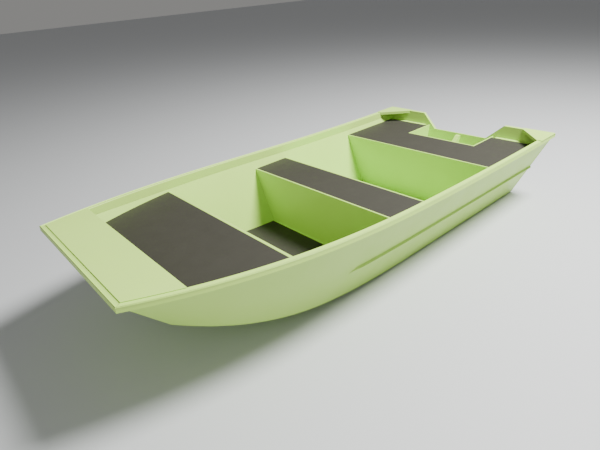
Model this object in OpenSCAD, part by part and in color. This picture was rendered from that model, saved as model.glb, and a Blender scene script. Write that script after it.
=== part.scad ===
/* [Hull] */
// Length over the gunwales
loa = 3660; // [3200:10:4300]
// Beam over the gunwales at the stern
beam = 1704; // [1450:10:1900]
// Width over the gunwales at the bow
bow_width = 1114; // [900:10:1250]
// Bottom width at the transom
bottom_stern = 1210; // [1000:10:1350]
// Bottom width at the bow knuckle
bottom_bow = 900; // [750:10:1000]
// Gunwale height above the bottom at the stern
depth_stern = 558; // [500:2:650]
// Gunwale height above the bottom at the bow
depth_bow = 690; // [640:5:780]
// Rise of the bottom at the bow knuckle
chine_rise = 385; // [300:5:420]
// How far the transom leans aft over its height
transom_rake = 110; // [60:5:150]
// How far the bow panel leans forward over its height
bow_rake = 250; // [180:5:300]
// Sheet thickness of the hull
plate = 3; // [2.5:0.5:4]

/* [Curves] */
// Station where the bottom starts to rise
rocker_from = 1325; // [1000:25:1600]
// Station where the gunwales start to draw in
taper_from = 1590; // [1300:10:1900]
// Station where the chines start to draw in
chine_from = 2360; // [2000:10:2600]
// Station where the gunwales start to rise
sheer_from = 295; // [295:5:600]
// Draw-in of the sides between the stern and the taper
side_drift = 20; // [0:1:40]
// Draw-in of the chines between the stern and the knuckle
chine_drift = 36; // [0:1:50]

/* [Gunwale and rails] */
// Width of the gunwale's top
gunwale_w = 41; // [32:1:45]
// Height of the gunwale's outer face
gunwale_h = 30; // [24:1:36]
// Overhang of the gunwale beyond the side sheet
gunwale_out = 10; // [6:1:12]
// Wall of the gunwale section
gunwale_wall = 3; // [2.5:0.5:4]
// Height of the spray rail above the bottom at the stern
rail_z = 245; // [200:5:280]
// Rise of the spray rail to its forward end
rail_rise = 24; // [0:1:40]
// Station of the spray rail's forward end
rail_end = 2255; // [1900:5:2400]
// How far the spray rail stands out
rail_out = 17; // [10:1:24]
// Height of the spray rail's back
rail_h = 26; // [18:1:40]
// Height of the keel and strakes below the bottom
strake_h = 10; // [8:1:14]
// Width of the keel and strakes
strake_w = 28; // [22:1:36]
// Distance between strakes
strake_pitch = 205; // [170:5:230]

/* [Benches] */
// Height of the stern bench top above the bottom
stern_top = 456; // [420:2:470]
// Station of the stern bench front
stern_front = 677; // [600:1:760]
// Height of the middle bench top above the bottom
mid_top = 461; // [400:1:480]
// Station of the middle bench back
mid_back = 1492; // [1400:1:1500]
// Station of the middle bench front
mid_front = 1839; // [1800:1:1900]
// Height of the forward bench top above the bottom
fore_top = 544; // [500:1:560]
// Station of the forward bench back
fore_back = 2638; // [2600:1:2700]
// Station of the bow deck's aft edge
deck_aft = 3250; // [3200:5:3290]
// Thickness of the bench boards
board_t = 12; // [9:1:15]
// Thickness of the floor boards
floor_t = 9; // [6:1:12]
// Width of the folded rim beside a board
rim_w = 12; // [10:1:16]
// Width of the rim beside the fore bench's board
fore_rim_w = 20; // [12:1:26]
// Width of the ledge under a board's edge
ledge_w = 28; // [20:1:40]
// Width of the rim between the stern board and the transom
stern_rim_w = 36; // [24:1:44]

/* [Transom and motor well] */
// Thickness of the transom's wooden core
core_t = 27; // [18:1:36]
// Half-width of the motor notch at its top
notch_top = 427; // [390:1:440]
// Half-width of the motor notch at its bottom
notch_bottom = 272; // [240:1:290]
// Height of the motor notch's bottom
notch_z = 419; // [381:1:430]
// Half-width of the motor well
well_half = 333; // [300:1:350]
// Station of the motor well's forward wall
well_front = 276; // [220:1:320]
// Height of the motor well's floor
well_z = 236; // [200:2:300]
// Length of a stern corner knee along the gunwale
knee_l = 257; // [200:1:300]
// Distance of a knee's inboard end from the centre line
knee_in = 594; // [560:1:640]
// Height of a knee's folded lip
knee_lip = 24; // [16:1:34]
// Radius of the drain tubes' bore
drain_r = 12.7; // [11:0.1:14]

/* [Floor and fits] */
// Height of the floor ribs
rib_h = 12; // [10:1:16]
// Width of a floor rib's crown
rib_w = 40; // [30:1:60]
// Leg of the chine angles
chine_leg = 15; // [12:1:18]
// Clearance between folded parts and the hull
fit = 0.8; // [0.6:0.1:1.0]
// Clearance round the moving drain plug
run_gap = 0.3; // [0.3:0.1:0.5]

/* [Hidden] */
$fn = 48;

green = "#C6DE9E";
board_grey = "#5F5D52";
foam_white = "#E8E4D2";
metal_grey = "#B4B6B4";
black_rubber = "#2A2A2C";

// Stations run forward from the foot of the transom. The keel's underside is at height zero.
keel_z = strake_h;
bow_top_x = loa - transom_rake;
bow_foot_x = bow_top_x - bow_rake;
middle_x = (bow_top_x - transom_rake) / 2;
curve_pitch = 75;
straight_bays = 6;
wall_rows = 2;

// How sharply each curve turns away towards the bow.
plan_power = 2.75;
sheer_power = 2.1;
chine_power = 2.2;
rocker_power = 3;

// Small gaps that keep sheets from pressing into each other.
facet_gap = 0.3;
sheet_gap = 0.2;
foot_gap = 0.1;

function ease(x, from, to, power) = x <= from ? 0 : pow((x - from) / (to - from), power);
function gunwale_y(x) = beam / 2 - side_drift * (x + transom_rake) / loa
    - (beam / 2 - bow_width / 2 - side_drift) * ease(x, taper_from, bow_top_x, plan_power);
function gunwale_z(x) = keel_z + depth_stern
    + (depth_bow - depth_stern) * ease(x, sheer_from, bow_top_x, sheer_power);
function chine_y(x) = bottom_stern / 2 - chine_drift * x / bow_foot_x
    - (bottom_stern / 2 - bottom_bow / 2 - chine_drift) * ease(x, chine_from, bow_foot_x, chine_power);
function bottom_slope(x) = rocker_power * chine_rise / (bow_foot_x - rocker_from)
    * ease(x, rocker_from, bow_foot_x, rocker_power - 1);

// The bottom is made of flat strips between stations, and all that lies on it follows them.
function grid_below(x) = x < rocker_from ? rocker_from / straight_bays
    * floor(straight_bays * x / rocker_from)
    : rocker_from + curve_pitch * floor((x - rocker_from) / curve_pitch);
function grid_above(x) = let(a = grid_below(x)) x < rocker_from ? a + rocker_from / straight_bays
    : a < bow_foot_x ? min(a + curve_pitch, bow_foot_x) : a + curve_pitch;
function mix(a, b, share) = a + (b - a) * share;
function on_strips(height, x) = let(a = grid_below(x), b = grid_above(x))
    mix(height(a), height(b), (x - a) / (b - a));
bottom_curve = function (x) keel_z + chine_rise * ease(x, rocker_from, bow_foot_x, rocker_power);
floor_curve = function (x) bottom_curve(x) + plate * norm([1, bottom_slope(x)]);
function chine_z(x) = on_strips(bottom_curve, x);
function floor_z(x) = on_strips(floor_curve, x);

// The side sheet is ruled: straight lines run from the chine to just inside the gunwale, each
// the same share of the way along both. Up is a point's share of the way up its line.
gunwale_run = loa - gunwale_out;
function line_at(x, up) = (x + transom_rake * up) / mix(bow_foot_x, gunwale_run, up);
function line_low(share) = chine_z(bow_foot_x * share);
function line_high(share) = gunwale_z(gunwale_run * share - transom_rake);
function up_line(x, z, up, turns) = turns == 0 ? up : let(share = line_at(x, up))
    up_line(x, z, (z - line_low(share)) / (line_high(share) - line_low(share)), turns - 1);
function line_y(share, up) = mix(chine_y(bow_foot_x * share),
    gunwale_y(gunwale_run * share - transom_rake) - gunwale_out, up);
function side_out(x, z) = let(up = up_line(x, z, 0.5, 6)) line_y(line_at(x, up), up);
function flare(x, z) = let(share = line_at(x, up_line(x, z, 0.5, 6)))
    (line_y(share, 1) - line_y(share, 0)) / (line_high(share) - line_low(share));
function side_in(x, z) = side_out(x, z) - plate * norm([1, flare(x, z)]);

// The transom and the bow panel are flat sheets that stand on the bottom.
rake_angle = atan(transom_rake / depth_stern);
transom_slope = transom_rake / depth_stern;
function transom_x(z, inset) = inset / cos(rake_angle) - transom_slope * (z - keel_z);
bow_foot_z = chine_z(bow_foot_x);
bow_slope = (bow_rake - gunwale_out) / (gunwale_z(bow_top_x) - bow_foot_z);
bow_skin_x = plate * norm([1, bow_slope]);
function bow_x(z) = bow_foot_x + bow_slope * (z - bow_foot_z);

// Stations between two ends: widely spaced where the hull is straight, close where it bends.
function stations(from, to) = let(inner = concat([for (i = [0:straight_bays - 1])
    rocker_from * i / straight_bays], [for (x = [rocker_from:curve_pitch:bow_top_x]) x]))
    concat([from], [for (x = inner) if (x > from + 12 && x < to - 12) x], [to]);

// Closed solid through a list of rings that all have the same even number of points. Its ends
// are strips across from one half of a ring to the other, so a folded section starts at a tip.
module loft(rings) {
    count = len(rings[0]);
    last = len(rings) - 1;
    sides = [for (i = [0:last - 1], j = [0:count - 1]) let(k = (j + 1) % count)
        each [[i * count + j, (i + 1) * count + j, (i + 1) * count + k],
            [i * count + j, (i + 1) * count + k, i * count + k]]];
    start = [for (j = [0:count / 2 - 2]) [j, j + 1, count - 2 - j, count - 1 - j]];
    end = [for (strip = start) [for (i = [3:-1:0]) last * count + strip[i]]];
    polyhedron([for (ring = rings) each ring], concat(sides, start, end));
}

module starboard() {
    mirror([0, 1, 0]) children();
}

module placed() {
    translate([-middle_x, 0, 0]) children();
}

// Profile in x and z, drawn across the boat between the two half-widths.
module across(half) {
    translate([0, half, 0]) rotate([90, 0, 0]) linear_extrude(2 * half) children();
}

// ---- hull sheets ----

module bottom_plate() {
    color(green) placed() loft([for (x = stations(0, bow_foot_x))
        [[x, chine_y(x), chine_z(x)], [x, side_out(x, floor_z(x)), floor_z(x)],
            [x, -side_out(x, floor_z(x)), floor_z(x)], [x, -chine_y(x), chine_z(x)]]]);
}

// Where the side sheet's forward edge meets the bottom and the gunwale, behind the bow panel.
function meet_foot(x, turns) = turns == 0 ? x : meet_foot(bow_x(floor_z(x)) - bow_skin_x, turns - 1);
function meet_top(x, turns) = turns == 0 ? x
    : meet_top(bow_x(gunwale_z(x) - gunwale_wall - fit) - bow_skin_x, turns - 1);
fore_foot_x = meet_foot(bow_foot_x, 8);
fore_top_x = meet_top(bow_top_x, 5);
aft_foot_x = transom_x(floor_z(0), plate);

function wall_top(x) = gunwale_z(x) - gunwale_wall - fit;

// Station and height of a point on the side sheet, from its share along and its share up.
function wall_x(along, up) = mix(
    transom_x(mix(floor_z(0), wall_top(-transom_rake), up), plate),
    bow_x(mix(floor_z(fore_foot_x), wall_top(fore_top_x), up)) - bow_skin_x, along);
function wall_z(along, up) = mix(floor_z(wall_x(along, 0)), wall_top(wall_x(along, 1)), up);

module side_plate() {
    ups = [for (r = [0:wall_rows]) r / wall_rows];
    downs = [for (r = [wall_rows:-1:0]) r / wall_rows];
    placed() loft([for (foot = stations(aft_foot_x, fore_foot_x))
        let(along = (foot - aft_foot_x) / (fore_foot_x - aft_foot_x))
        concat([for (up = ups) let(x = wall_x(along, up), z = wall_z(along, up))
                [x, side_out(x, z), z]],
            [for (up = downs) let(x = wall_x(along, up), z = wall_z(along, up))
                [x, side_in(x, z), z]])]);
}

module side_plate_port() {
    color(green) side_plate();
}

module side_plate_starboard() {
    color(green) starboard() side_plate();
}

module bow_panel() {
    foot = floor_z(bow_foot_x);
    top = wall_top(bow_top_x - gunwale_out - bow_skin_x);
    color(green) placed() loft([for (r = [0:wall_rows]) let(z = mix(foot, top, r / wall_rows),
        x = bow_x(z), back = x - bow_skin_x)
        [[x, side_out(x, z), z], [x, -side_out(x, z), z],
            [back, -side_out(back, z), z], [back, side_out(back, z), z]]]);
}

// ---- transom ----

// Local frame on the transom's outer face: first across, then up the slope, then forward.
module at_transom(up = 0) {
    translate([0, 0, keel_z]) rotate([0, -rake_angle, 0]) rotate([90, 0, 90])
        translate([0, up, 0]) children();
}

function up_transom(z, inset) = (z - keel_z - inset * sin(rake_angle)) / cos(rake_angle);

transom_t = 2 * plate + core_t;
stern_z = keel_z + depth_stern;
stern_y = gunwale_y(-transom_rake);
corner_y = stern_y - gunwale_w - fit;
notch_up = up_transom(keel_z + notch_z, 0);
crest_up = up_transom(stern_z, 0);
notch_run = (notch_top - notch_bottom) / (crest_up - notch_up);
notch_angle = atan(1 / notch_run);
tube_wall = 1.5;
tube_r = drain_r + tube_wall;
drain_flange_r = 27;
well_flange_r = 20;
drain_up = up_transom(floor_z(0) + drain_flange_r + 2, 0);
well_drain_up = up_transom(keel_z + well_z + plate + tube_r + 3, transom_t);
well_drain_y = 110;

// The motor notch, enlarged by the thickness of the strip that lines it.
module notch(lining) {
    reach = 60;
    shift = lining * tan(notch_angle / 2);
    polygon([for (side = [1, -1]) each let(
        low = [side * (notch_bottom + shift), notch_up - lining],
        high = [side * (notch_bottom + shift + notch_run * (crest_up + reach - notch_up)),
            crest_up + reach - lining])
        side > 0 ? [high, low] : [low, high]]);
}

// One layer of the transom, cut level at the bottom sheet and at the top.
module transom_layer(inset, thick, inboard, lining) {
    low = floor_z(0);
    top = stern_z - lining;
    half = function (z) (inboard ? side_in(transom_x(z, inset), z) - fit
        : side_out(transom_x(z, inset), z));
    below = low - 20;
    above = stern_z + 20;
    low_edge = up_transom(below, inset);
    high_edge = up_transom(above, inset);
    difference() {
        intersection() {
            at_transom() translate([0, 0, inset]) linear_extrude(thick) difference() {
                polygon([[half(below), low_edge], [half(above), high_edge],
                    [-half(above), high_edge], [-half(below), low_edge]]);
                notch(lining);
                translate([0, drain_up]) circle(r = tube_r + foot_gap);
                for (side = [1, -1]) translate([side * well_drain_y, well_drain_up])
                    circle(r = tube_r + foot_gap);
            }
            translate([-loa / 4, -beam, low]) cube([loa / 2, 2 * beam, top - low]);
        }
        for (side = [1, -1]) translate([-loa / 4, side > 0 ? corner_y : -corner_y - beam,
            stern_z - gunwale_h - fit]) cube([loa / 2, beam, 2 * gunwale_h]);
    }
}

module transom_outer_skin() {
    color(green) placed() transom_layer(0, plate, false, 0);
}

module transom_core() {
    color("#C49A64") placed() transom_layer(plate, core_t, true, plate);
}

module transom_inner_skin() {
    color(green) placed() transom_layer(plate + core_t, plate, true, 0);
}

// Closing strip on the core's edge, along the top, down the notch and across it.
module transom_cap() {
    reach = 100;
    color(green) placed() difference() {
        intersection() {
            at_transom() translate([0, 0, plate]) linear_extrude(core_t) difference() {
                translate([-corner_y, notch_up - 2 * plate])
                    square([2 * corner_y, crest_up - notch_up + reach]);
                notch(0);
            }
            translate([-loa / 4, -beam, 0]) cube([loa / 2, 2 * beam, stern_z]);
        }
        difference() {
            translate([-loa / 4, -beam, 0]) cube([loa / 2, 2 * beam, stern_z - plate]);
            at_transom() translate([0, 0, -reach]) linear_extrude(3 * reach) notch(plate);
        }
    }
}

// ---- gunwales ----

// Section of the gunwale as inward and downward distances from its top outer corner. The web
// under it runs in to the sheet, and the lip inside it hangs down to the sheet: web gives the
// distance inward for a depth, and lip the depth for a distance inward.
function gunwale_section(web, lip) = let(w = gunwale_wall)
    [[gunwale_w, lip(gunwale_w)], [gunwale_w, 0], [0, 0], [0, gunwale_h],
        [web(gunwale_h), gunwale_h], [web(gunwale_h - w), gunwale_h - w], [w, gunwale_h - w],
        [w, w], [gunwale_w - w, w], [gunwale_w - w, lip(gunwale_w - w)]];
function side_web(x, depth) = gunwale_y(x) - side_out(x, gunwale_z(x) - depth) - fit;
short_lip = function (inward) 4 * gunwale_wall;
function long_lip(x, inward) = let(high = gunwale_z(x), top = side_in(x, high),
    lean = (top - side_in(x, high - 2 * gunwale_h)) / (2 * gunwale_h))
    (inward - gunwale_y(x) + top - fit) / lean - 2 * fit;

// Point of a mitred end, which lies as far from the end as it lies inward, on a flat plane.
mitre_y = (gunwale_y(bow_top_x - gunwale_w) - gunwale_y(bow_top_x)) / gunwale_w;
mitre_z = (gunwale_z(bow_top_x - gunwale_w) - gunwale_z(bow_top_x)) / gunwale_w;
function mitred(p) = [bow_top_x - p[0], gunwale_y(bow_top_x) + (mitre_y - 1) * p[0],
    gunwale_z(bow_top_x) + mitre_z * p[0] - p[1]];

// The long lip starts in front of the transom and ends behind the mitre.
module gunwale_side() {
    xs = stations(-transom_rake + plate / cos(rake_angle), bow_top_x);
    aft = xs[0];
    lip_from = transom_x(stern_z - 2 * gunwale_w, transom_t) + 4;
    inner = [for (i = [1:len(xs) - 2]) if (xs[i] > lip_from + 12 && xs[i] < bow_top_x - 2 * gunwale_w)
        xs[i]];
    start = [for (p = gunwale_section(function (d) side_web(aft, d), short_lip))
        [aft + transom_slope * p[1], gunwale_y(aft) - p[0], gunwale_z(aft) - p[1]]];
    middle = [for (x = concat([lip_from - 1, lip_from], inner, [bow_top_x - gunwale_w - 12]))
        let(lip = x < lip_from || x > bow_top_x - 2 * gunwale_w ? short_lip
            : function (inward) long_lip(x, inward))
        [for (p = gunwale_section(function (d) side_web(x, d), lip))
            [x, gunwale_y(x) - p[0], gunwale_z(x) - p[1]]]];
    mitre = function (d) side_web(bow_top_x - side_web(bow_top_x - gunwale_w, d), d);
    end = [for (p = gunwale_section(mitre, short_lip)) mitred(p)];
    placed() loft(concat([start], middle, [end]));
}

module gunwale_port() {
    color(green) gunwale_side();
}

module gunwale_starboard() {
    color(green) starboard() gunwale_side();
}

module bow_gunwale() {
    web = function (d) gunwale_out + bow_slope * d - fit;
    ring = [for (p = gunwale_section(web, short_lip)) mitred(p) - [0, fit / 2, 0]];
    other = [for (p = ring) [p[0], -p[1], p[2]]];
    color(green) placed() loft([ring, other]);
}

module gunwale_end_cap() {
    r = 6;
    top = up_transom(stern_z, plate);
    low = up_transom(stern_z - gunwale_h, 0);
    at_transom() linear_extrude(plate - fit / 2) difference() {
        translate([stern_y - gunwale_w, low]) square([gunwale_w, top - low]);
        translate([stern_y - r, top - r]) difference() {
            square(r + 1);
            circle(r);
        }
    }
}

module gunwale_end_caps() {
    color(green) placed() {
        gunwale_end_cap();
        starboard() gunwale_end_cap();
    }
}

// ---- bow deck ----

deck_t = 4;
deck_lap = 8;
deck_fore = bow_top_x - gunwale_w + deck_lap;
deck_flange = 34;
deck_tilt = (gunwale_z(bow_top_x) - gunwale_z(deck_aft)) / (bow_top_x - deck_aft);
function deck_z(x) = gunwale_z(deck_aft) + deck_tilt * (x - deck_aft);
function deck_inner(x) = gunwale_y(x) - gunwale_w - 2;

// The deck laps on to the gunwales; its aft edge is folded down between them.
module bow_deck_plate() {
    half = function (x) gunwale_y(x) - gunwale_w + deck_lap;
    color(green) placed() union() {
        loft([for (x = stations(deck_aft, deck_fore)) [[x, half(x), deck_z(x)],
            [x, half(x), deck_z(x) + deck_t], [x, -half(x), deck_z(x) + deck_t],
            [x, -half(x), deck_z(x)]]]);
        loft([for (x = [deck_aft, deck_aft + plate]) let(y = deck_inner(deck_aft + plate))
            [[x, y, deck_z(x) - deck_flange], [x, y, deck_z(x) + 1], [x, -y, deck_z(x) + 1],
                [x, -y, deck_z(x) - deck_flange]]]);
    }
}

// Channel beam under the middle of the deck.
module deck_beam() {
    beam_w = 40;
    beam_h = 25;
    at = (deck_aft + deck_fore) / 2;
    color(green) placed() translate([at, 0, deck_z(at)]) rotate([0, -atan(deck_tilt), 0])
        across(deck_inner(at + beam_w)) difference() {
            translate([-beam_w / 2, -beam_h]) square([beam_w, beam_h - sheet_gap]);
            translate([-beam_w / 2 + plate, -beam_h - plate])
                square([beam_w - 2 * plate, beam_h - sheet_gap]);
        }
}

// ---- stern corner knees ----

module stern_knee() {
    corner = 8;
    fore = -transom_rake + knee_l;
    tip = [fore, gunwale_y(fore) - gunwale_w - 4];
    heel = [transom_x(stern_z, transom_t) + 8, knee_in];
    run = (heel - tip) / norm(heel - tip);
    inward = [-run[1], run[0]] * plate;
    side = inward[0] < 0 ? inward : -inward;
    union() {
        translate([0, 0, stern_z]) linear_extrude(plate) polygon([[-transom_rake, knee_in],
            [-transom_rake, stern_y - corner], [-transom_rake + corner, stern_y],
            [fore, gunwale_y(fore)], tip, heel]);
        translate([0, 0, stern_z - knee_lip]) linear_extrude(knee_lip + 1)
            polygon([tip, heel, heel + side, tip + side]);
    }
}

module stern_knee_port() {
    color(green) placed() stern_knee();
}

module stern_knee_starboard() {
    color(green) placed() starboard() stern_knee();
}

// ---- spray rails, keel and strakes ----

// Section of the spray rail at a station; it thins and turns down at its forward end.
function rail_ring(x) = let(nose = min(1, (rail_end - x) / 90 + 0.06), drop = 22 * pow(1 - nose, 2),
    z = keel_z + rail_z + rail_rise * x / rail_end - drop, out = rail_out * nose,
    high = z + rail_h * 0.6 * (0.4 + 0.6 * nose), low = z - rail_h * 0.4 * (0.4 + 0.6 * nose))
    [[x, side_out(x, high) + fit, high], [x, side_out(x, z + 3) + out, z + 3],
        [x, side_out(x, z - 3) + out, z - 3], [x, side_out(x, low) + fit, low]];

module spray_rail() {
    aft = transom_x(keel_z + rail_z, plate);
    placed() loft([for (x = concat(stations(aft, rail_end - 90), [rail_end - 60, rail_end - 30,
        rail_end])) rail_ring(x)]);
}

module spray_rail_port() {
    color(green) spray_rail();
}

module spray_rail_starboard() {
    color(green) starboard() spray_rail();
}

// A rib along the underside, with a forward end that thins away.
module strake(length) {
    nose = 60;
    top = stations(20, length);
    low = stations(20, length - nose);
    across(strake_w / 2) polygon(concat([for (x = top) [x, chine_z(x)]],
        [for (i = [len(low) - 1:-1:0]) [low[i], chine_z(low[i]) - strake_h]]));
}

keel_end = 3230;
strake_end = 3180;

module keel() {
    color(green) placed() strake(keel_end);
}

module strakes() {
    color(green) placed() for (n = [-2, -1, 1, 2]) translate([0, n * strake_pitch, 0])
        strake(strake_end);
}

// ---- chine angles and floor ----

// Angle along the chine, no higher than the floor ribs that carry the boards.
module chine_angle() {
    w = 2.5;
    high = rib_h - 0.5;
    placed() loft([for (x = stations(transom_x(floor_z(0), transom_t) + 2, bow_foot_x - 60))
        let(z = floor_z(x), y = side_in(x, z) - fit)
        [[x, side_in(x, z + high) - fit, z + high], [x, y, z], [x, y - chine_leg, z],
            [x, y - chine_leg, z + w], [x, side_in(x, z + w) - fit - w, z + w],
            [x, side_in(x, z + high) - fit - w, z + high]]]);
}

module chine_angle_port() {
    color(green) chine_angle();
}

module chine_angle_starboard() {
    color(green) starboard() chine_angle();
}

rib_foot = 14;
rib_wall = 2;

// Hat-shaped rib, flat on the bottom strip between two stations.
module floor_rib(x) {
    a = grid_below(x);
    b = grid_above(x);
    tilt = atan((floor_z(b) - floor_z(a)) / (b - a));
    half_w = rib_w / 2;
    translate([(a + b) / 2, 0, (floor_z(a) + floor_z(b)) / 2]) rotate([0, -tilt, 0])
        across(chine_y(b) - chine_leg - 14) polygon([[-half_w - rib_foot, 0], [-half_w, 0],
            [-half_w, rib_h - rib_wall], [half_w, rib_h - rib_wall], [half_w, 0],
            [half_w + rib_foot, 0], [half_w + rib_foot, rib_wall], [half_w + rib_wall, rib_wall],
            [half_w + rib_wall, rib_h], [-half_w - rib_wall, rib_h], [-half_w - rib_wall, rib_wall],
            [-half_w - rib_foot, rib_wall]]);
}

module floor_ribs() {
    bays = [[stern_front, mid_back], [mid_front, fore_back]];
    color(green) placed() for (bay = bays, share = [0.15, 0.5, 0.85])
        floor_rib(mix(bay[0], bay[1], share));
}

function board_low(x) = floor_z(x) + rib_h * norm([1, bottom_slope(x)]) + sheet_gap;
function board_high(x) = board_low(x) + floor_t * norm([1, bottom_slope(x)]);

// Floor board that follows the bottom between two benches.
module floor_board(from, to) {
    placed() loft([for (x = stations(from + 1, to - 1)) let(low = board_low(x), high = board_high(x))
        [[x, side_in(x, low) - fit, low], [x, side_in(x, high) - fit, high],
            [x, -side_in(x, high) + fit, high], [x, -side_in(x, low) + fit, low]]]);
}

module floor_board_forward() {
    color(board_grey) floor_board(mid_front, fore_back);
}

// Points up the side of a block that fills the hull at a station, clear of the chine angle.
function block_side(x, low, high, gap) = let(z = max(low, floor_z(x)),
    clear = chine_leg + 4, rows = 4)
    concat([[x, side_in(x, z) - gap - clear, z]], [for (r = [0:rows])
        let(at = mix(z + clear, high, r / rows)) [x, side_in(x, at) - gap, at]]);

// Block that fills the hull between two stations, up to a height.
module inside_hull(from, to, low, high, gap) {
    loft([for (x = stations(from, to)) let(side = block_side(x, low, high, gap))
        concat(side, [for (i = [len(side) - 1:-1:0]) [x, -side[i][1], side[i][2]]])]);
}

trim_h = 16;

// Angle over the end of a floor board, against the foot of a bench sheet. Way is 1 or -1.
module floor_trim(x, way) {
    w = 2;
    low = max(board_high(x + way), board_high(x + way * rim_w)) + sheet_gap;
    intersection() {
        across(beam / 2) polygon([for (p = [[sheet_gap, 0], [rim_w, 0], [rim_w, w], [sheet_gap + w, w],
            [sheet_gap + w, trim_h], [sheet_gap, trim_h]]) [x + way * p[0], low + p[1]]]);
        loft([for (at = [min(x, x + way * rim_w) - 1, max(x, x + way * rim_w) + 1])
            [for (p = [[1, low - 1], [1, low + 20], [-1, low + 20], [-1, low - 1]])
                [at, p[0] * (side_in(at, p[1]) - fit), p[1]]]]);
    }
}

module floor_trims() {
    color(green) placed() {
        floor_trim(mid_front, 1);
        floor_trim(fore_back, -1);
    }
}

// ---- benches ----

// Folded bench sheet: a web, a rim beside the board and a ledge under it. Way is 1 when it
// faces forward and -1 when it faces aft; x is its face and top is the board's height.
module bench_sheet(x, top, way, rim = rim_w) {
    w = plate;
    foot = max(floor_z(x), floor_z(x - way * w)) + foot_gap;
    back = x - way * (rim + ledge_w);
    outline = [[0, foot], [0, top], [rim, top], [rim, top - board_t],
        [rim + ledge_w, top - board_t], [rim + ledge_w, top - board_t - w],
        [rim - w, top - board_t - w], [rim - w, top - w], [w, top - w], [w, foot]];
    placed() intersection() {
        across(beam / 2) polygon([for (p = outline) [x - way * p[0], p[1]]]);
        inside_hull(min(x, back) - 1, max(x, back) + 1, 0, top + 1, fit);
    }
}

// Board between two stations, with ends that follow the sides.
module bench_board(from, to, top) {
    low = top - board_t;
    loft([for (x = stations(from, to)) [[x, side_in(x, low) - fit, low],
        [x, side_in(x, top) - fit, top], [x, -side_in(x, top) + fit, top],
        [x, -side_in(x, low) + fit, low]]]);
}

foam_drop = 26;

// Buoyancy foam under a board, a little above the bottom.
module bench_foam(from, to, top) {
    translate([0, 0, facet_gap]) inside_hull(from, to, 0, top - board_t - foam_drop, 2 * fit);
}

// Angle on the side sheet under the end of a board.
module side_ledge(from, to, top) {
    w = plate;
    leg = 22;
    high = top - board_t;
    y = function (x, z) side_in(x, z) - fit;
    loft([for (x = stations(from, to)) [[x, y(x, high - leg), high - leg], [x, y(x, high), high],
        [x, y(x, high) - leg, high], [x, y(x, high) - leg, high - w],
        [x, y(x, high - w) - w, high - w], [x, y(x, high - leg) - w, high - leg]]]);
}

module side_ledges(from, to, top) {
    placed() {
        side_ledge(from, to, top);
        starboard() side_ledge(from, to, top);
    }
}

seam = 0.5;
under = rim_w + ledge_w + 1;
fore_z = keel_z + fore_top;
mid_z = keel_z + mid_top;
stern_bench_z = keel_z + stern_top;
fore_board_end = bow_x(fore_z - board_t) - bow_skin_x - 2;

module fore_bench_back() {
    color(green) bench_sheet(fore_back, fore_z, -1, fore_rim_w);
}

module fore_bench_board() {
    color(board_grey) placed()
        bench_board(fore_back + fore_rim_w + seam, fore_board_end, fore_z);
}

module fore_bench_foam() {
    color(foam_white) placed() bench_foam(fore_back + plate + seam, bow_foot_x - 80, fore_z);
}

module fore_bench_ledges() {
    color(green) side_ledges(fore_back + fore_rim_w + ledge_w + 1, fore_board_end - 60, fore_z);
}

module mid_bench_front() {
    color(green) bench_sheet(mid_front, mid_z, 1);
}

module mid_bench_back() {
    color(green) bench_sheet(mid_back, mid_z, -1);
}

module mid_bench_board() {
    color(board_grey) placed()
        bench_board(mid_back + rim_w + seam, mid_front - rim_w - seam, mid_z);
}

module mid_bench_foam() {
    color(foam_white) placed() bench_foam(mid_back + plate + seam, mid_front - plate - seam, mid_z);
}

module mid_bench_ledges() {
    color(green) side_ledges(mid_back + under, mid_front - under, mid_z);
}

module stern_bench_front() {
    color(green) bench_sheet(stern_front, stern_bench_z, 1);
}

well_edge = well_half + rim_w + seam;
stern_board_aft = transom_x(stern_bench_z, transom_t) + stern_rim_w + seam;

module stern_bench_board() {
    color(board_grey) placed() difference() {
        bench_board(stern_board_aft, stern_front - rim_w - seam, stern_bench_z);
        translate([-loa / 4, -well_edge, stern_bench_z - 2 * board_t])
            cube([loa / 4 + well_front + rim_w + seam, 2 * well_edge, 3 * board_t]);
    }
}

// Rims on the transom, either side of the motor well, that carry the board's aft edge.
module stern_bench_rims() {
    w = plate;
    top = stern_bench_z;
    leg = 34;
    x = function (z) transom_x(z, transom_t) + sheet_gap;
    far = x(top) + stern_rim_w;
    color(green) placed() difference() {
        intersection() {
            across(beam / 2) polygon([[x(top), top], [far, top], [far, top - board_t],
                [far + ledge_w, top - board_t], [far + ledge_w, top - board_t - w],
                [far - w, top - board_t - w], [far - w, top - w], [x(top - w) + w, top - w],
                [x(top - leg) + w, top - leg], [x(top - leg), top - leg]]);
            inside_hull(x(top) - 30, far + ledge_w + 1, top - 60, top + 1, fit);
        }
        translate([-loa / 4, -well_edge - ledge_w - 1, top - 2 * leg])
            cube([loa / 2, 2 * (well_edge + ledge_w + 1), 3 * leg]);
    }
}

module stern_bench_ledges() {
    color(green) side_ledges(stern_board_aft + ledge_w + 1, stern_front - under, stern_bench_z);
}

module stern_bench_foam() {
    from = well_front + under;
    to = stern_front - plate - seam;
    high = stern_bench_z - board_t - foam_drop;
    half = well_half - 3;
    color(foam_white) placed() translate([from, -half, floor_z(0) + facet_gap])
        cube([to - from, 2 * half, high - floor_z(0) - facet_gap]);
}

// ---- motor well ----

well_floor_z = keel_z + well_z;

module well_front_wall() {
    w = plate;
    top = stern_bench_z;
    color(green) placed() across(well_half - sheet_gap) polygon([for (p = [[0, well_floor_z], [0, top],
        [rim_w, top], [rim_w, top - board_t], [rim_w + ledge_w, top - board_t],
        [rim_w + ledge_w, top - board_t - w], [rim_w - w, top - board_t - w], [rim_w - w, top - w],
        [w, top - w], [w, well_floor_z]]) [well_front + p[0], p[1]]]);
}

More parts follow.
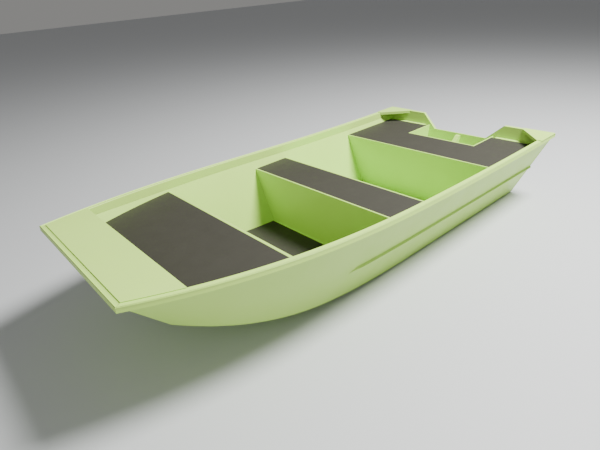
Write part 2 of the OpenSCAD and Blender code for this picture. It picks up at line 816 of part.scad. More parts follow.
// Side of the well, which stands on the bottom and carries the board's inner edge.
module well_side_wall() {
    w = plate;
    top = stern_bench_z;
    fore = well_front + rim_w;
    reach = 200;
    intersection() {
        translate([-reach, 0, 0]) rotate([90, 0, 90]) linear_extrude(reach + fore)
            polygon([for (p = [[0, floor_z(0)], [0, top], [rim_w, top], [rim_w, top - board_t],
                [rim_w + ledge_w, top - board_t], [rim_w + ledge_w, top - board_t - w],
                [rim_w - w, top - board_t - w], [rim_w - w, top - w], [w, top - w],
                [w, floor_z(0)]]) [well_half + p[0], p[1]]]);
        across(beam / 2) polygon([[transom_x(0, transom_t) + sheet_gap, 0], [fore + 1, 0],
            [fore + 1, top + 1], [transom_x(top + 1, transom_t) + sheet_gap, top + 1]]);
    }
}

module well_side_wall_port() {
    color(green) placed() well_side_wall();
}

module well_side_wall_starboard() {
    color(green) placed() starboard() well_side_wall();
}

module well_floor() {
    low = well_floor_z;
    high = low + plate;
    fore = well_front - sheet_gap;
    color(green) placed() across(well_half - sheet_gap) polygon([
        [transom_x(low, transom_t) + sheet_gap, low], [fore, low], [fore, high],
        [transom_x(high, transom_t) + sheet_gap, high]]);
}

// Hollow brace between the well's floor and the transom.
module transom_knee() {
    low = well_floor_z + plate;
    high = keel_z + notch_z - 8;
    foot = 150;
    head = 26;
    half = 22;
    back = function (z) transom_x(z, transom_t) + sheet_gap;
    color(green) placed() difference() {
        across(half) polygon([[back(low), low], [back(low) + foot, low],
            [back(low) + foot, low + head], [back(high) + head, high], [back(high), high]]);
        across(half - plate) polygon([[back(low) - 20, low - 1], [back(low) + foot - plate, low - 1],
            [back(low) + foot - plate, low + head - plate], [back(high) + head - plate, high - plate],
            [back(high) - 20, high - plate]]);
    }
}

module stern_foam() {
    high = stern_bench_z - board_t - foam_drop;
    inner = well_half + plate + seam;
    from = transom_x(floor_z(0), transom_t) + 3;
    translate([0, 0, facet_gap]) loft([for (x = stations(from, stern_front - plate - seam))
        concat([[x, inner, high], [x, inner, floor_z(x)]], block_side(x, 0, high, 2 * fit))]);
}

module stern_foam_port() {
    color(foam_white) placed() stern_foam();
}

module stern_foam_starboard() {
    color(foam_white) placed() starboard() stern_foam();
}

// ---- drains ----

flange_t = 2.5;

// Tube through the transom with an outer flange and a rolled inner end.
module through_tube(flange_r) {
    over = 4;
    difference() {
        union() {
            translate([0, 0, -flange_t]) cylinder(r = flange_r, h = flange_t);
            translate([0, 0, -flange_t]) cylinder(r = tube_r, h = transom_t + flange_t + over);
            translate([0, 0, transom_t]) cylinder(r = tube_r + 2.5, h = over);
        }
        translate([0, 0, -flange_t - 1]) cylinder(r = drain_r, h = transom_t + flange_t + over + 2);
    }
}

module drain_tube() {
    color(metal_grey) placed() at_transom(drain_up) through_tube(drain_flange_r);
}

module well_drain_tubes() {
    color(metal_grey) placed() for (side = [1, -1]) at_transom(well_drain_up)
        translate([side * well_drain_y, 0, 0]) through_tube(well_flange_r);
}

module drain_rivets() {
    color(metal_grey) placed() at_transom(drain_up) for (turn = [30, 150, 270]) rotate([0, 0, turn])
        translate([rivet_circle, 0, -flange_t - rivet_t]) cylinder(r = rivet_r, h = rivet_t);
}

plug_r = drain_r - run_gap;
plug_out = flange_t + run_gap;
plug_in = 24;
head_t = 4;
head_lip = 3.5;
washer_r = 10;
washer_t = 2;
nut_r = 5.5;
rivet_r = 3.6;
rivet_t = 1.6;
rivet_circle = 21;
stem_r = 3;
stem_gap = 0.05;
pin_r = 1.5;
eye_r = 5;
eye_half = 3.2;
eye_out = 16;
cheek_t = 2.5;
cheek_gap = 0.3;
lever_l = 42;

module plug_rubber() {
    color(black_rubber) placed() at_transom(drain_up) difference() {
        union() {
            translate([0, 0, -plug_out - head_t]) cylinder(r = drain_r + head_lip, h = head_t);
            translate([0, 0, -plug_out - head_t]) cylinder(r = plug_r, h = plug_in + plug_out + head_t);
        }
        translate([0, 0, -2 * eye_out]) cylinder(r = stem_r + stem_gap, h = 2 * eye_out + plug_in + 1);
    }
}

module plug_stem() {
    color("#B99A52") placed() at_transom(drain_up) difference() {
        union() {
            translate([0, 0, -eye_out]) cylinder(r = stem_r, h = eye_out + plug_in + 4);
            translate([eye_half, 0, -eye_out]) rotate([0, -90, 0])
                cylinder(r = eye_r, h = 2 * eye_half);
            translate([0, 0, plug_in + washer_t + 0.2]) cylinder(r = nut_r, h = 1.8);
        }
        translate([10, 0, -eye_out]) rotate([0, -90, 0]) cylinder(r = pin_r + stem_gap, h = 20);
    }
}

module plug_washer() {
    color(metal_grey) placed() at_transom(drain_up) difference() {
        translate([0, 0, plug_in + foot_gap]) cylinder(r = washer_r, h = washer_t);
        translate([0, 0, plug_in - 1]) cylinder(r = stem_r + stem_gap, h = 4);
    }
}

module plug_pin() {
    half = eye_half + cheek_gap + cheek_t + 0.8;
    color(metal_grey) placed() at_transom(drain_up) translate([half, 0, -eye_out])
        rotate([0, -90, 0]) cylinder(r = pin_r, h = 2 * half);
}

// Snap lever: two cheeks on the pin, joined by a grip that lies up the transom.
module plug_lever() {
    inner = eye_half + cheek_gap;
    outer = inner + cheek_t;
    cheek_r = 5.5;
    neck = eye_r + 2;
    grip = neck + 8;
    grip_t = 5;
    color("#B99A52") placed() at_transom(drain_up) translate([0, 0, -eye_out]) difference() {
        union() {
            for (side = [-inner, outer]) translate([side, 0, 0]) rotate([0, -90, 0])
                cylinder(r = cheek_r, h = cheek_t);
            translate([-outer, 0, -3]) cube([2 * outer, lever_l, grip_t]);
            translate([-outer - 2, grip, -3]) cube([2 * outer + 4, lever_l - grip, grip_t]);
        }
        translate([-inner, -eye_r - 4, -8]) cube([2 * inner, eye_r + 4 + neck, 16]);
        translate([outer + 4, 0, 0]) rotate([0, -90, 0])
            cylinder(r = pin_r + 0.08, h = 2 * outer + 8);
    }
}

bottom_plate();
side_plate_port();
side_plate_starboard();
bow_panel();
transom_outer_skin();
transom_core();
transom_inner_skin();
transom_cap();
chine_angle_port();
chine_angle_starboard();
gunwale_port();
gunwale_starboard();
gunwale_end_caps();
bow_gunwale();
bow_deck_plate();
deck_beam();
stern_knee_port();
stern_knee_starboard();
spray_rail_port();
spray_rail_starboard();
keel();
strakes();
floor_ribs();
floor_board_forward();
floor_trims();
fore_bench_back();
fore_bench_board();
fore_bench_foam();
fore_bench_ledges();
mid_bench_front();
mid_bench_back();
mid_bench_board();
mid_bench_foam();
mid_bench_ledges();
stern_bench_front();
stern_bench_board();
stern_bench_rims();
stern_bench_ledges();
stern_bench_foam();
stern_foam_port();
stern_foam_starboard();
well_front_wall();
well_side_wall_port();
well_side_wall_starboard();
well_floor();
transom_knee();
drain_tube();
drain_rivets();
well_drain_tubes();
plug_rubber();
plug_stem();
plug_washer();
plug_pin();
plug_lever();
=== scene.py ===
"""Flat-bottomed aluminium boat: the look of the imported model, in metres, in its own frame."""

import math

import bmesh
import bpy
from mathutils import Matrix, Vector


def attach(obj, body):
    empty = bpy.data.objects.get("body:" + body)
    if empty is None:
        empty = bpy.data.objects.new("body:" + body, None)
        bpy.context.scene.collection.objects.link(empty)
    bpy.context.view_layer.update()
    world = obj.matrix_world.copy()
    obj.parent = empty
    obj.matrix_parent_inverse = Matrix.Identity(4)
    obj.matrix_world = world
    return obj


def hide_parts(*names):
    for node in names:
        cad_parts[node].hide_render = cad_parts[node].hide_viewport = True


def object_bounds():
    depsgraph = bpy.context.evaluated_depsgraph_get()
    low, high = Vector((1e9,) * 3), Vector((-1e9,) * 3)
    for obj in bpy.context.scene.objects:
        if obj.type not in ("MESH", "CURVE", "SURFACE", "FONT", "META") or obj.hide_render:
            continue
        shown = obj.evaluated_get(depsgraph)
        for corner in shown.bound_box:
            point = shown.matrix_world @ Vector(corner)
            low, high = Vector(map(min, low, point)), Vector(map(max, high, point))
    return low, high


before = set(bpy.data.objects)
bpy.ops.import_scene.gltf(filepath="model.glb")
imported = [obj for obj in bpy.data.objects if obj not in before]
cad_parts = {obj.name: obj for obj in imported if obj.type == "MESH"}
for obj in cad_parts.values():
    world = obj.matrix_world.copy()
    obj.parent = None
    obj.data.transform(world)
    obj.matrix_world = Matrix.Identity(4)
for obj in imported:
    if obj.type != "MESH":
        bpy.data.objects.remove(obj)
cad_low, cad_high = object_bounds()

# ---- sizes of the hull, in metres ----
# Stations run forward from the foot of the transom, and the keel's underside is at height zero.

LOA = cad_high.x - cad_low.x
BEAM = cad_high.y - cad_low.y
TRANSOM_RAKE = 0.110
BOW_RAKE = 0.250
BOW_WIDTH = 1.114
BOTTOM_STERN = 1.210
BOTTOM_BOW = 0.900
DEPTH_STERN = 0.558
DEPTH_BOW = 0.690
CHINE_RISE = 0.385
SHEET = 0.003
ROCKER_FROM = 1.325
TAPER_FROM = 1.590
CHINE_FROM = 2.360
SHEER_FROM = 0.295
SIDE_DRIFT = 0.020
CHINE_DRIFT = 0.036
PLAN_POWER = 2.75
SHEER_POWER = 2.1
CHINE_POWER = 2.2
ROCKER_POWER = 3
GUNWALE_W = 0.041
GUNWALE_H = 0.030
GUNWALE_OUT = 0.010
GUNWALE_WALL = 0.003
GUNWALE_ROUND = 0.0055
FIT = 0.0008
KEEL_Z = 0.010
CORE_T = 0.027
TRANSOM_T = 2 * SHEET + CORE_T
BOW_TOP_X = LOA - TRANSOM_RAKE
BOW_FOOT_X = BOW_TOP_X - BOW_RAKE
MIDDLE_X = (BOW_TOP_X - TRANSOM_RAKE) / 2
GUNWALE_RUN = LOA - GUNWALE_OUT
STEP = 0.020
LINE_ROUNDS = 6
SETTLE_ROUNDS = 8


def mix(a, b, share):
    return a + (b - a) * share


def ease(x, start, end, power):
    return 0.0 if x <= start else ((x - start) / (end - start)) ** power


def gunwale_y(x):
    drift = SIDE_DRIFT * (x + TRANSOM_RAKE) / LOA
    sweep = BEAM / 2 - BOW_WIDTH / 2 - SIDE_DRIFT
    return BEAM / 2 - drift - sweep * ease(x, TAPER_FROM, BOW_TOP_X, PLAN_POWER)


def gunwale_z(x):
    rise = (DEPTH_BOW - DEPTH_STERN) * ease(x, SHEER_FROM, BOW_TOP_X, SHEER_POWER)
    return KEEL_Z + DEPTH_STERN + rise


def chine_y(x):
    sweep = BOTTOM_STERN / 2 - BOTTOM_BOW / 2 - CHINE_DRIFT
    drift = CHINE_DRIFT * x / BOW_FOOT_X
    return BOTTOM_STERN / 2 - drift - sweep * ease(x, CHINE_FROM, BOW_FOOT_X, CHINE_POWER)


def chine_z(x):
    return KEEL_Z + CHINE_RISE * ease(x, ROCKER_FROM, BOW_FOOT_X, ROCKER_POWER)


def bottom_slope(x):
    steep = ROCKER_POWER * CHINE_RISE / (BOW_FOOT_X - ROCKER_FROM)
    return steep * ease(x, ROCKER_FROM, BOW_FOOT_X, ROCKER_POWER - 1)


def floor_z(x):
    return chine_z(x) + SHEET * math.hypot(1, bottom_slope(x))


def line_at(x, up):
    """The share along the hull of the straight side line through a station, a share up it."""
    return (x + TRANSOM_RAKE * up) / mix(BOW_FOOT_X, GUNWALE_RUN, up)


def line_low(share):
    return chine_z(BOW_FOOT_X * share)


def line_high(share):
    return gunwale_z(GUNWALE_RUN * share - TRANSOM_RAKE)


def up_line(x, z):
    up = 0.5
    for _ in range(LINE_ROUNDS):
        share = line_at(x, up)
        up = (z - line_low(share)) / (line_high(share) - line_low(share))
    return up


def line_y(share, up):
    high = gunwale_y(GUNWALE_RUN * share - TRANSOM_RAKE) - GUNWALE_OUT
    return mix(chine_y(BOW_FOOT_X * share), high, up)


def side_out(x, z):
    up = up_line(x, z)
    return line_y(line_at(x, up), up)


def side_in(x, z):
    share = line_at(x, up_line(x, z))
    flare = (line_y(share, 1) - line_y(share, 0)) / (line_high(share) - line_low(share))
    return side_out(x, z) - SHEET * math.hypot(1, flare)


TRANSOM_SLOPE = TRANSOM_RAKE / DEPTH_STERN
RAKE_ANGLE = math.atan(TRANSOM_SLOPE)
BOW_FOOT_Z = chine_z(BOW_FOOT_X)
BOW_SLOPE = (BOW_RAKE - GUNWALE_OUT) / (gunwale_z(BOW_TOP_X) - BOW_FOOT_Z)
BOW_SKIN = SHEET * math.hypot(1, BOW_SLOPE)
STERN_Z = KEEL_Z + DEPTH_STERN


def transom_x(z, inset=0.0):
    return inset / math.cos(RAKE_ANGLE) - TRANSOM_SLOPE * (z - KEEL_Z)


def bow_x(z):
    return BOW_FOOT_X + BOW_SLOPE * (z - BOW_FOOT_Z)


def wall_top(x):
    return gunwale_z(x) - GUNWALE_WALL - FIT


def settle(rule, start):
    """The value that a rule leaves unchanged."""
    x = start
    for _ in range(SETTLE_ROUNDS):
        x = rule(x)
    return x


FORE_FOOT_X = settle(lambda x: bow_x(floor_z(x)) - BOW_SKIN, BOW_FOOT_X)
FORE_TOP_X = settle(lambda x: bow_x(wall_top(x)) - BOW_SKIN, BOW_TOP_X)


def stations(start, end, step=STEP):
    count = max(1, round((end - start) / step))
    return [mix(start, end, i / count) for i in range(count + 1)]


# ---- making meshes ----

ROUNDED_FROM = math.radians(30)
FLAT_WEIGHT = 100
SAME_SPOT = 0.00001


def place(point):
    return (point[0] - MIDDLE_X, point[1], point[2])


def mirrored(points):
    return [(x, -y, z) for x, y, z in reversed(points)]


def add_loft(mesh, rings):
    """Adds a solid through rings of the same number of points, with both ends closed."""
    rows = [[mesh.verts.new(place(p)) for p in ring] for ring in rings]
    count = len(rows[0])
    for near, far in zip(rows, rows[1:]):
        for j in range(count):
            k = (j + 1) % count
            mesh.faces.new((near[j], far[j], far[k], near[k]))
    mesh.faces.new(rows[0])
    mesh.faces.new(list(reversed(rows[-1])))


def made(name, mesh, material, nodes=(), body="hull"):
    """Turns a bmesh into a finished piece that rides on a body."""
    bmesh.ops.recalc_face_normals(mesh, faces=mesh.faces)
    data = bpy.data.meshes.new(name)
    mesh.to_mesh(data)
    mesh.free()
    data.materials.append(material)
    data.polygons.foreach_set("use_smooth", [True] * len(data.polygons))
    piece = bpy.data.objects.new(name, data)
    bpy.context.scene.collection.objects.link(piece)
    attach(piece, body)
    if nodes:
        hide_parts(*nodes)
    return piece


def round_edges(piece, width, segments):
    bevel = piece.modifiers.new("rounded edges", "BEVEL")
    bevel.width = width
    bevel.segments = segments
    bevel.limit_method = "ANGLE"
    bevel.angle_limit = ROUNDED_FROM
    bevel.harden_normals = True
    bevel.use_clamp_overlap = True
    flats = piece.modifiers.new("flat faces stay flat", "WEIGHTED_NORMAL")
    flats.mode = "FACE_AREA"
    flats.weight = FLAT_WEIGHT
    flats.keep_sharp = True
    return piece


def lofted(name, ring_lists, material, nodes, edge=0.001, segments=3):
    mesh = bmesh.new()
    for rings in ring_lists:
        add_loft(mesh, rings)
    return round_edges(made(name, mesh, material, nodes), edge, segments)


def finished(node, material, body="hull", edge=0.001, segments=2, flat=0.2):
    """A copy of a CAD node with clean faces and rounded edges."""
    mesh = bmesh.new()
    mesh.from_mesh(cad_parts[node].data)
    bmesh.ops.remove_doubles(mesh, verts=mesh.verts, dist=SAME_SPOT)
    bmesh.ops.dissolve_limit(
        mesh, angle_limit=math.radians(flat), verts=mesh.verts, edges=mesh.edges
    )
    piece = made(node + "_finished", mesh, material, [node], body)
    return round_edges(piece, edge, segments)


def both_sides(name, rings, material, node, edge=0.001, segments=3):
    """The port piece and its mirror image to starboard."""
    lofted(name + "_port", [rings], material, [node + "_port"], edge, segments)
    other = [mirrored(ring) for ring in rings]
    lofted(name + "_starboard", [other], material, [node + "_starboard"], edge, segments)


# ---- materials ----


def new_group(name, inputs, outputs):
    tree = bpy.data.node_groups.new(name, "ShaderNodeTree")
    for label, kind, value in inputs:
        socket = tree.interface.new_socket(label, in_out="INPUT", socket_type=kind)
        if value is not None:
            socket.default_value = value
    for label, kind in outputs:
        tree.interface.new_socket(label, in_out="OUTPUT", socket_type=kind)
    return tree, tree.nodes.new("NodeGroupInput"), tree.nodes.new("NodeGroupOutput")


def node(tree, kind, **settings):
    made_node = tree.nodes.new(kind)
    for key, value in settings.items():
        if hasattr(made_node, key):
            setattr(made_node, key, value)
        else:
            made_node.inputs[key.replace("_", " ")].default_value = value
    return made_node


def noise(tree, where, scale, detail=3.0, rough=0.55):
    made_node = node(tree, "ShaderNodeTexNoise", Scale=scale, Detail=detail, Roughness=rough)
    tree.links.new(where, made_node.inputs["Vector"])
    return made_node.outputs["Fac"]


def ramp(tree, value, low, high, start=0.0, end=1.0):
    made_node = tree.nodes.new("ShaderNodeMapRange")
    for key, number in (
        ("From Min", low),
        ("From Max", high),
        ("To Min", start),
        ("To Max", end),
    ):
        made_node.inputs[key].default_value = number
    tree.links.new(value, made_node.inputs["Value"])
    return made_node.outputs["Result"]


def math_node(tree, operation, a, b):
    made_node = node(tree, "ShaderNodeMath", operation=operation)
    for socket, value in zip(made_node.inputs, (a, b)):
        if isinstance(value, (int, float)):
            socket.default_value = value
        else:
            tree.links.new(value, socket)
    return made_node.outputs[0]


def product(tree, value, *others):
    for other in others:
        value = math_node(tree, "MULTIPLY", value, other)
    return value


def mix_colour(tree, share, a, b):
    made_node = node(tree, "ShaderNodeMix", data_type="RGBA")
    # The node's share and its two colours. The sockets between them are for other kinds of data.
    for number, value in zip((0, 6, 7), (share, a, b)):
        socket = made_node.inputs[number]
        if hasattr(value, "links"):
            tree.links.new(value, socket)
        else:
            socket.default_value = value
    return made_node.outputs[2]


def stretched(tree, where, scale):
    made_node = node(tree, "ShaderNodeMapping", Scale=scale)
    tree.links.new(where, made_node.inputs["Vector"])
    return made_node.outputs["Vector"]


COLOUR, VALUE, VECTOR = "NodeSocketColor", "NodeSocketFloat", "NodeSocketVector"
PEEL_SHARE = 0.06
PLY_LEAN = 0.197


def paint_film_group():
    """Sprayed paint: slow colour drift, orange peel and a roughness that varies a little."""
    tree, given, out = new_group(
        "paint film",
        [("Position", VECTOR, None), ("Colour", COLOUR, None), ("Deeper colour", COLOUR, None)],
        [("Colour", COLOUR), ("Roughness", VALUE), ("Height", VALUE)],
    )
    where = given.outputs["Position"]
    drift = ramp(tree, noise(tree, where, 2.2, 4), 0.35, 0.68)
    link = tree.links.new
    link(mix_colour(tree, drift, given.outputs["Colour"], given.outputs["Deeper colour"]),
         out.inputs["Colour"])
    link(ramp(tree, noise(tree, where, 9.0, 5), 0.3, 0.7, 0.34, 0.44), out.inputs["Roughness"])
    peel = noise(tree, where, 420.0, 2)
    waves = noise(tree, where, 14.0, 2)
    link(math_node(tree, "ADD", product(tree, peel, PEEL_SHARE), waves), out.inputs["Height"])
    return tree


def scuff_group():
    """Thin scratches that run mostly fore and aft."""
    tree, given, out = new_group(
        "scuffs",
        [("Position", VECTOR, None), ("Amount", VALUE, 0.5)],
        [("Mask", VALUE)],
    )
    where = given.outputs["Position"]
    fine = noise(tree, stretched(tree, where, (3.0, 260.0, 260.0)), 1.0, 6, 0.7)
    patch = ramp(tree, noise(tree, where, 5.0, 3), 0.45, 0.7)
    lines = ramp(tree, fine, 0.62, 0.72)
    mask = product(tree, lines, patch, given.outputs["Amount"])
    tree.links.new(mask, out.inputs["Mask"])
    return tree


def dust_group():
    """Dust that settles on what faces up, in soft patches."""
    tree, given, out = new_group(
        "settled dust",
        [("Position", VECTOR, None), ("Facing", VECTOR, None), ("Amount", VALUE, 0.3)],
        [("Mask", VALUE)],
    )
    split = tree.nodes.new("ShaderNodeSeparateXYZ")
    tree.links.new(given.outputs["Facing"], split.inputs[0])
    up = ramp(tree, split.outputs["Z"], 0.6, 1.0)
    patch = ramp(tree, noise(tree, given.outputs["Position"], 7.0, 6, 0.6), 0.42, 0.75)
    mask = product(tree, up, patch, given.outputs["Amount"])
    tree.links.new(mask, out.inputs["Mask"])
    return tree


def grit_group():
    """Fine grit of a non-slip coat, as height and as a speckle."""
    tree, given, out = new_group(
        "grit",
        [("Position", VECTOR, None), ("Size", VALUE, 700.0)],
        [("Height", VALUE), ("Speckle", VALUE)],
    )
    cells = node(tree, "ShaderNodeTexVoronoi")
    tree.links.new(given.outputs["Position"], cells.inputs["Vector"])
    tree.links.new(given.outputs["Size"], cells.inputs["Scale"])
    grain = node(tree, "ShaderNodeTexNoise", Detail=2.0)
    tree.links.new(given.outputs["Position"], grain.inputs["Vector"])
    tree.links.new(given.outputs["Size"], grain.inputs["Scale"])
    bumps = ramp(tree, cells.outputs["Distance"], 0.0, 0.6, 1.0, 0.0)
    tree.links.new(math_node(tree, "ADD", bumps, grain.outputs["Fac"]), out.inputs["Height"])
    tree.links.new(ramp(tree, grain.outputs["Fac"], 0.55, 0.75), out.inputs["Speckle"])
    return tree


PAINT_FILM = paint_film_group()
SCUFFS = scuff_group()
DUST = dust_group()
GRIT = grit_group()


def placed_group(tree, group, **values):
    made_node = tree.nodes.new("ShaderNodeGroup")
    made_node.node_tree = group
    for key, value in values.items():
        socket = made_node.inputs[key.replace("_", " ")]
        if hasattr(value, "links"):
            tree.links.new(value, socket)
        else:
            socket.default_value = value
    return made_node


def new_material(name):
    material = bpy.data.materials.new(name)
    material.use_nodes = True
    tree = material.node_tree
    shader = tree.nodes["Principled BSDF"]
    where = tree.nodes.new("ShaderNodeTexCoord").outputs["Object"]
    facing = tree.nodes.new("ShaderNodeNewGeometry").outputs["Normal"]
    return material, tree, shader, where, facing


def add_bump(tree, shader, height, strength, distance):
    bump = node(tree, "ShaderNodeBump", Strength=strength, Distance=distance)
    tree.links.new(height, bump.inputs["Height"])
    tree.links.new(bump.outputs["Normal"], shader.inputs["Normal"])


def hull_paint():
    material, tree, shader, where, facing = new_material("hull paint")
    film = placed_group(tree, PAINT_FILM, Position=where, Colour=(0.525, 0.800, 0.165, 1),
                        Deeper_colour=(0.508, 0.782, 0.155, 1))
    dust = placed_group(tree, DUST, Position=where, Facing=facing, Amount=0.10)
    scuffs = placed_group(tree, SCUFFS, Position=where, Amount=0.25)
    dusty = mix_colour(tree, dust.outputs["Mask"], film.outputs["Colour"], (0.50, 0.62, 0.26, 1))
    worn = mix_colour(tree, scuffs.outputs["Mask"], dusty, (0.58, 0.82, 0.28, 1))
    tree.links.new(worn, shader.inputs["Base Color"])
    rougher = math_node(tree, "ADD", film.outputs["Roughness"],
                        math_node(tree, "MULTIPLY", scuffs.outputs["Mask"], 0.25))
    tree.links.new(rougher, shader.inputs["Roughness"])
    add_bump(tree, shader, film.outputs["Height"], 0.25, 0.0006)
    shader.inputs["Specular IOR Level"].default_value = 0.30
    shader.inputs["Coat Weight"].default_value = 0.04
    shader.inputs["Coat Roughness"].default_value = 0.30
    return material


def board_finish():
    material, tree, shader, where, facing = new_material("non-slip board")
    grit = placed_group(tree, GRIT, Position=where, Size=520.0)
    scuffs = placed_group(tree, SCUFFS, Position=where, Amount=0.12)
    dust = placed_group(tree, DUST, Position=where, Facing=facing, Amount=0.05)
    patch = ramp(tree, noise(tree, where, 3.0, 5), 0.3, 0.7)
    base = mix_colour(tree, patch, (0.0270, 0.0262, 0.0180, 1), (0.0258, 0.0249, 0.0171, 1))
    speckled = mix_colour(tree, math_node(tree, "MULTIPLY", grit.outputs["Speckle"], 0.35), base,
                          (0.075, 0.072, 0.055, 1))
    dusty = mix_colour(tree, dust.outputs["Mask"], speckled, (0.09, 0.087, 0.068, 1))
    worn = mix_colour(tree, scuffs.outputs["Mask"], dusty, (0.08, 0.077, 0.06, 1))
    tree.links.new(worn, shader.inputs["Base Color"])
    tree.links.new(ramp(tree, noise(tree, where, 12.0, 4), 0.3, 0.7, 0.66, 0.78),
                   shader.inputs["Roughness"])
    add_bump(tree, shader, grit.outputs["Height"], 0.35, 0.0005)
    return material


def core_wood():
    material, tree, shader, where, _ = new_material("core plywood")
    grain = noise(tree, stretched(tree, where, (120.0, 4.0, 120.0)), 1.0, 6, 0.6)
    layers = node(tree, "ShaderNodeTexWave", Scale=110.0, Distortion=1.2)
    tree.links.new(stretched(tree, where, (1.0, 0.0, PLY_LEAN)), layers.inputs["Vector"])
    shade = math_node(tree, "ADD", math_node(tree, "MULTIPLY", grain, 0.6),
                      math_node(tree, "MULTIPLY", layers.outputs["Fac"], 0.4))
    tree.links.new(mix_colour(tree, shade, (0.30, 0.18, 0.085, 1), (0.62, 0.44, 0.25, 1)),
                   shader.inputs["Base Color"])
    tree.links.new(ramp(tree, grain, 0.3, 0.7, 0.6, 0.8), shader.inputs["Roughness"])
    add_bump(tree, shader, grain, 0.3, 0.0006)
    return material


def float_foam():
    material, tree, shader, where, facing = new_material("float foam")
    grit = placed_group(tree, GRIT, Position=where, Size=260.0)
    dust = placed_group(tree, DUST, Position=where, Facing=facing, Amount=0.4)
    base = mix_colour(tree, ramp(tree, noise(tree, where, 6.0, 4), 0.3, 0.7),
                      (0.78, 0.75, 0.63, 1), (0.71, 0.66, 0.50, 1))
    tree.links.new(mix_colour(tree, dust.outputs["Mask"], base, (0.5, 0.47, 0.38, 1)),
                   shader.inputs["Base Color"])
    rough = ramp(tree, grit.outputs["Speckle"], 0.0, 1.0, 0.82, 0.95)
    tree.links.new(rough, shader.inputs["Roughness"])
    add_bump(tree, shader, grit.outputs["Height"], 0.5, 0.001)
    return material


def bare_metal(name, colour, deeper, roughness):
    material, tree, shader, where, _ = new_material(name)
    brushed = noise(tree, stretched(tree, where, (60.0, 60.0, 900.0)), 1.0, 4)
    patch = ramp(tree, noise(tree, where, 90.0, 4), 0.35, 0.7)
    tree.links.new(mix_colour(tree, patch, colour, deeper), shader.inputs["Base Color"])
    tree.links.new(ramp(tree, brushed, 0.3, 0.7, roughness - 0.07, roughness + 0.1),
                   shader.inputs["Roughness"])
    shader.inputs["Metallic"].default_value = 1.0
    add_bump(tree, shader, brushed, 0.15, 0.0001)
    return material


def plug_rubber():
    material, tree, shader, where, facing = new_material("plug rubber")
    grit = placed_group(tree, GRIT, Position=where, Size=1500.0)
    dust = placed_group(tree, DUST, Position=where, Facing=facing, Amount=0.6)
    base = mix_colour(tree, noise(tree, where, 150.0, 3), (0.018, 0.018, 0.019, 1),
                      (0.034, 0.034, 0.035, 1))
    tree.links.new(mix_colour(tree, dust.outputs["Mask"], base, (0.14, 0.13, 0.12, 1)),
                   shader.inputs["Base Color"])
    rough = ramp(tree, grit.outputs["Speckle"], 0.0, 1.0, 0.62, 0.78)
    tree.links.new(rough, shader.inputs["Roughness"])
    add_bump(tree, shader, grit.outputs["Height"], 0.25, 0.0002)
    return material


PAINT = hull_paint()
BOARD = board_finish()
PLY = core_wood()
FOAM = float_foam()
ALLOY = bare_metal("bare aluminium", (0.66, 0.67, 0.67, 1), (0.55, 0.56, 0.56, 1), 0.32)
BRASS = bare_metal("plug brass", (0.72, 0.52, 0.22, 1), (0.55, 0.37, 0.14, 1), 0.30)
RUBBER = plug_rubber()

# ---- hull sheets ----

SIDE_RUNS = 180
SIDE_ROWS = 10
BOW_ROWS = 14
SHEET_EDGE = 0.0005
BOTTOM_EDGE = 0.0004


def wall_x(along, up):
    aft = transom_x(mix(floor_z(0), wall_top(-TRANSOM_RAKE), up), SHEET)
    fore = bow_x(mix(floor_z(FORE_FOOT_X), wall_top(FORE_TOP_X), up)) - BOW_SKIN
    return mix(aft, fore, along)


def wall_z(along, up):
    return mix(floor_z(wall_x(along, 0)), wall_top(wall_x(along, 1)), up)


def side_ring(along):
    ups = [r / SIDE_ROWS for r in range(SIDE_ROWS + 1)]
    spots = [(wall_x(along, up), wall_z(along, up)) for up in ups]
    outer = [(x, side_out(x, z), z) for x, z in spots]
    inner = [(x, side_in(x, z), z) for x, z in reversed(spots)]
    return outer + inner


def bottom_ring(x):
    z = floor_z(x)
    half = [(x, chine_y(x), chine_z(x)), (x, side_out(x, z), z)]
    return half + mirrored(half)


def bow_ring(z):
    x = bow_x(z)
    back = x - BOW_SKIN
    return [(x, side_out(x, z), z), (x, -side_out(x, z), z),
            (back, -side_out(back, z), z), (back, side_out(back, z), z)]


def hull_sheets():
    sides = [side_ring(i / SIDE_RUNS) for i in range(SIDE_RUNS + 1)]
    both_sides("side_sheet", sides, PAINT, "side_plate", SHEET_EDGE, 1)
    bottom = [bottom_ring(x) for x in stations(0, BOW_FOOT_X)]
    lofted("bottom_sheet", [bottom], PAINT, ["bottom_plate"], BOTTOM_EDGE, 1)
    foot = floor_z(BOW_FOOT_X)
    top = wall_top(BOW_TOP_X - GUNWALE_OUT - BOW_SKIN)
    panel = [bow_ring(mix(foot, top, r / BOW_ROWS)) for r in range(BOW_ROWS + 1)]
    lofted("bow_sheet", [panel], PAINT, ["bow_panel"], SHEET_EDGE, 1)


# ---- gunwales ----

BEND_STEPS = 5
LIP_CLEAR = 0.004
LIP_END = 0.001
MITRE_LEAD = 0.012
GUNWALE_EDGE = 0.0012


def quarter(inward, down, radius, start):
    """Points of a quarter turn, in steps, about a centre."""
    turns = [start + math.pi / 2 * i / BEND_STEPS for i in range(BEND_STEPS + 1)]
    return [(inward + radius * math.cos(t), down + radius * math.sin(t)) for t in turns]


